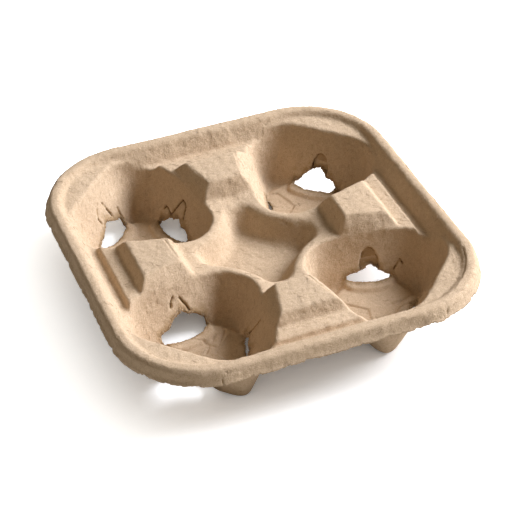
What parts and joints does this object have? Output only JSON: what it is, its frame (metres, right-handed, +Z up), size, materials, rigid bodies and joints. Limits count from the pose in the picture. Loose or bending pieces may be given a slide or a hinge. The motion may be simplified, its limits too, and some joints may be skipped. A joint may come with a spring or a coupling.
{
  "type": "cup carrier tray",
  "caption": "Square cup carrier tray moulded in one piece from paper pulp, with tapered cup pockets in the corners, gripping posts between them and hollow feet.",
  "frame": {"origin": "middle of the tray, on the plane of its feet, at the bottom centre of its bounding box", "axes": "+Z up; +X and +Y along the two pairs of sides"},
  "size_m": [0.222, 0.222, 0.0445],
  "materials": {
    "pulp": "rough unbleached moulded paper pulp"
  },
  "bodies": {
    "root": {"carrier_tray": "pulp"}
  },
  "joints": []
}
